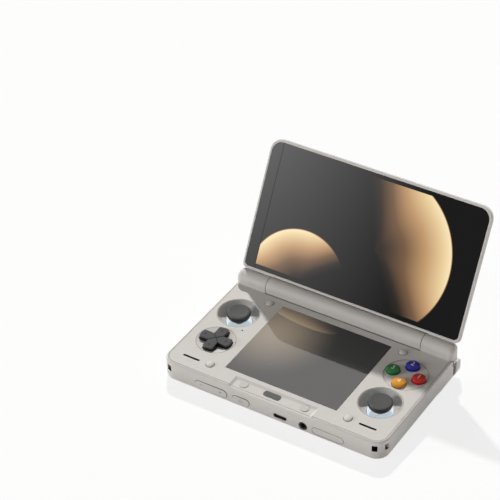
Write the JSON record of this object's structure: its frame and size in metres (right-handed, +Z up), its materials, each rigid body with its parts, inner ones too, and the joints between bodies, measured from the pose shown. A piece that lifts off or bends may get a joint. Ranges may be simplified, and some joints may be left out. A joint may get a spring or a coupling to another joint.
{
  "type": "clamshell handheld game console",
  "caption": "Open clamshell game console: a base with screen, thumb sticks, cross key, round buttons and shoulder triggers, hinged to a lid with a wide screen.",
  "frame": {"origin": "centre of the bounding box's footprint, on the table the console stands on", "axes": "+X to the player's right along the hinge, +Y from the player towards the hinge, +Z up; the deck leans forward 3.5 degrees"},
  "size_m": [0.15, 0.1296, 0.1032],
  "materials": {
    "body_plastic": "fine satin",
    "key_plastic": "fine satin",
    "glass": "polished black cover glass",
    "panel": "display panel",
    "plate_dark": "satin",
    "rubber_grey": "soft",
    "rubber_dark": "matt",
    "stick_dark": "matt",
    "button_red": "glossy",
    "button_blue": "glossy",
    "button_green": "glossy",
    "button_yellow": "glossy",
    "light_guide": "translucent, lit",
    "steel": "ground",
    "copper": "satin copper",
    "board": "solder mask",
    "inner_plastic": "matt",
    "cell_wrap": "film"
  },
  "bodies": {
    "base": {"bottom_cover": "body_plastic", "deck_cover": "body_plastic", "lower_glass": "glass", "lower_display_panel": "panel", "front_plate": "plate_dark", "bumper_pads": "rubber_grey", "rubber_feet": "rubber_dark", "case_screws": "steel", "mainboard": "board", "heat_spreader": "copper", "fan_housing": "inner_plastic", "battery": "cell_wrap", "dpad_membrane": "rubber_dark", "face_button_membrane": "rubber_dark", "card_reader": "steel", "usb_c_socket": "steel", "audio_jack": "inner_plastic", "trigger_pins": "steel", "shoulder_pins": "steel", "stick_module_left": "inner_plastic", "light_ring_left": "light_guide", "speaker_left": "inner_plastic", "hinge_unit_left": "steel", "stick_module_right": "inner_plastic", "light_ring_right": "light_guide", "speaker_right": "inner_plastic", "hinge_unit_right": "steel"},
    "lid": {"lid_back_cover": "body_plastic", "lid_frame": "body_plastic", "upper_glass": "glass", "upper_display_panel": "panel", "hinge_shaft_left": "steel", "hinge_shaft_right": "steel", "display_ribbon": "inner_plastic"},
    "fan_rotor": {"fan_rotor": "inner_plastic"},
    "dpad": {"dpad": "stick_dark"},
    "dpad_pivot": {"dpad_pivot": "steel"},
    "volume_rocker": {"volume_rocker": "key_plastic"},
    "power_key": {"power_key": "key_plastic"},
    "card_door": {"card_door": "rubber_grey"},
    "face_button_1": {"face_button_1": "button_red"},
    "face_button_2": {"face_button_2": "button_blue"},
    "face_button_3": {"face_button_3": "button_green"},
    "face_button_4": {"face_button_4": "button_yellow"},
    "menu_button_rear_left": {"menu_button_rear_left": "key_plastic"},
    "menu_button_rear_right": {"menu_button_rear_right": "key_plastic"},
    "menu_button_front_left": {"menu_button_front_left": "key_plastic"},
    "menu_button_front_right": {"menu_button_front_right": "key_plastic"},
    "stick_gimbal_left": {"stick_gimbal_left": "steel"},
    "stick_stem_left": {"stick_stem_left": "inner_plastic"},
    "stick_cap_left": {"stick_cap_left": "stick_dark"},
    "shoulder_left": {"shoulder_left": "key_plastic"},
    "trigger_left": {"trigger_left": "key_plastic"},
    "stick_gimbal_right": {"stick_gimbal_right": "steel"},
    "stick_stem_right": {"stick_stem_right": "inner_plastic"},
    "stick_cap_right": {"stick_cap_right": "stick_dark"},
    "shoulder_right": {"shoulder_right": "key_plastic"},
    "trigger_right": {"trigger_right": "key_plastic"}
  },
  "joints": [
    {"name": "lid_hinge", "type": "hinge", "parent": "base", "child": "lid", "pos_m": [0, 0.0234, 0.02263], "axis": [-1, 0, 0], "range_deg": [-118.6, 31.4]},
    {"name": "stick_left_tilt_fore_aft", "type": "hinge", "parent": "base", "child": "stick_gimbal_left", "pos_m": [-0.0577, -0.00522, 0.00906], "axis": [1, 0, 0], "range_deg": [-10, 10], "stiffness_Nm_per_rad": 0.04},
    {"name": "stick_left_tilt_sideways", "type": "hinge", "parent": "stick_gimbal_left", "child": "stick_stem_left", "pos_m": [-0.0577, -0.00522, 0.00906], "axis": [0, 0.9982, 0.0607], "range_deg": [-10, 10], "stiffness_Nm_per_rad": 0.04},
    {"name": "stick_left_click", "type": "slide", "parent": "stick_stem_left", "child": "stick_cap_left", "axis": [0, 0.0607, -0.9982], "range_m": [0, 0.00035], "stiffness_N_per_m": 1500},
    {"name": "stick_right_tilt_fore_aft", "type": "hinge", "parent": "base", "child": "stick_gimbal_right", "pos_m": [0.056, -0.03297, 0.00738], "axis": [1, 0, 0], "range_deg": [-10, 10], "stiffness_Nm_per_rad": 0.04},
    {"name": "stick_right_tilt_sideways", "type": "hinge", "parent": "stick_gimbal_right", "child": "stick_stem_right", "pos_m": [0.056, -0.03297, 0.00738], "axis": [0, 0.9982, 0.0607], "range_deg": [-10, 10], "stiffness_Nm_per_rad": 0.04},
    {"name": "stick_right_click", "type": "slide", "parent": "stick_stem_right", "child": "stick_cap_right", "axis": [0, 0.0607, -0.9982], "range_m": [0, 0.00035], "stiffness_N_per_m": 1500},
    {"name": "dpad_rock_fore_aft", "type": "hinge", "parent": "base", "child": "dpad_pivot", "pos_m": [-0.0559, -0.03359, 0.00934], "axis": [1, 0, 0], "range_deg": [-3, 3], "stiffness_Nm_per_rad": 0.1},
    {"name": "dpad_rock_sideways", "type": "hinge", "parent": "dpad_pivot", "child": "dpad", "pos_m": [-0.0559, -0.03359, 0.00934], "axis": [0, 0.9982, 0.0607], "range_deg": [-3, 3], "stiffness_Nm_per_rad": 0.1},
    {"name": "face_button_1_press", "type": "slide", "parent": "base", "child": "face_button_1", "axis": [0, 0.0607, -0.9982], "range_m": [0, 0.0012], "stiffness_N_per_m": 400},
    {"name": "face_button_2_press", "type": "slide", "parent": "base", "child": "face_button_2", "axis": [0, 0.0607, -0.9982], "range_m": [0, 0.0012], "stiffness_N_per_m": 400},
    {"name": "face_button_3_press", "type": "slide", "parent": "base", "child": "face_button_3", "axis": [0, 0.0607, -0.9982], "range_m": [0, 0.0012], "stiffness_N_per_m": 400},
    {"name": "face_button_4_press", "type": "slide", "parent": "base", "child": "face_button_4", "axis": [0, 0.0607, -0.9982], "range_m": [0, 0.0012], "stiffness_N_per_m": 400},
    {"name": "menu_button_rear_left_press", "type": "slide", "parent": "base", "child": "menu_button_rear_left", "axis": [0, 0.0607, -0.9982], "range_m": [0, 0.0007], "stiffness_N_per_m": 600},
    {"name": "menu_button_rear_right_press", "type": "slide", "parent": "base", "child": "menu_button_rear_right", "axis": [0, 0.0607, -0.9982], "range_m": [0, 0.0007], "stiffness_N_per_m": 600},
    {"name": "menu_button_front_left_press", "type": "slide", "parent": "base", "child": "menu_button_front_left", "axis": [0, 0.0607, -0.9982], "range_m": [0, 0.0007], "stiffness_N_per_m": 600},
    {"name": "menu_button_front_right_press", "type": "slide", "parent": "base", "child": "menu_button_front_right", "axis": [0, 0.0607, -0.9982], "range_m": [0, 0.0007], "stiffness_N_per_m": 600},
    {"name": "shoulder_left_press", "type": "hinge", "parent": "base", "child": "shoulder_left", "pos_m": [-0.0569, 0.02534, 0.01713], "axis": [0, -0.0607, 0.9982], "range_deg": [0, 3], "stiffness_Nm_per_rad": 0.35},
    {"name": "trigger_left_pull", "type": "hinge", "parent": "base", "child": "trigger_left", "pos_m": [-0.06, 0.02736, 0.01195], "axis": [-1, 0, 0], "range_deg": [0, 9], "stiffness_Nm_per_rad": 0.05},
    {"name": "shoulder_right_press", "type": "hinge", "parent": "base", "child": "shoulder_right", "pos_m": [0.0569, 0.02534, 0.01713], "axis": [0, 0.0607, -0.9982], "range_deg": [0, 3], "stiffness_Nm_per_rad": 0.35},
    {"name": "trigger_right_pull", "type": "hinge", "parent": "base", "child": "trigger_right", "pos_m": [0.06, 0.02736, 0.01195], "axis": [-1, 0, 0], "range_deg": [0, 9], "stiffness_Nm_per_rad": 0.05},
    {"name": "volume_rocker_tilt", "type": "hinge", "parent": "base", "child": "volume_rocker", "pos_m": [-0.03995, -0.06154, 0.00594], "axis": [0, -0.0607, 0.9982], "range_deg": [-2, 2], "stiffness_Nm_per_rad": 0.25},
    {"name": "power_key_press", "type": "slide", "parent": "base", "child": "power_key", "axis": [0, 0.9982, 0.0607], "range_m": [0, 0.0004], "stiffness_N_per_m": 2000},
    {"name": "card_door_pull", "type": "slide", "parent": "base", "child": "card_door", "axis": [0, -0.9982, -0.0607], "range_m": [0, 0.004]},
    {"name": "fan_spin", "type": "hinge", "parent": "base", "child": "fan_rotor", "pos_m": [0.02, -0.00183, 0.01087], "axis": [0, -0.0607, 0.9982], "continuous": true}
  ]
}
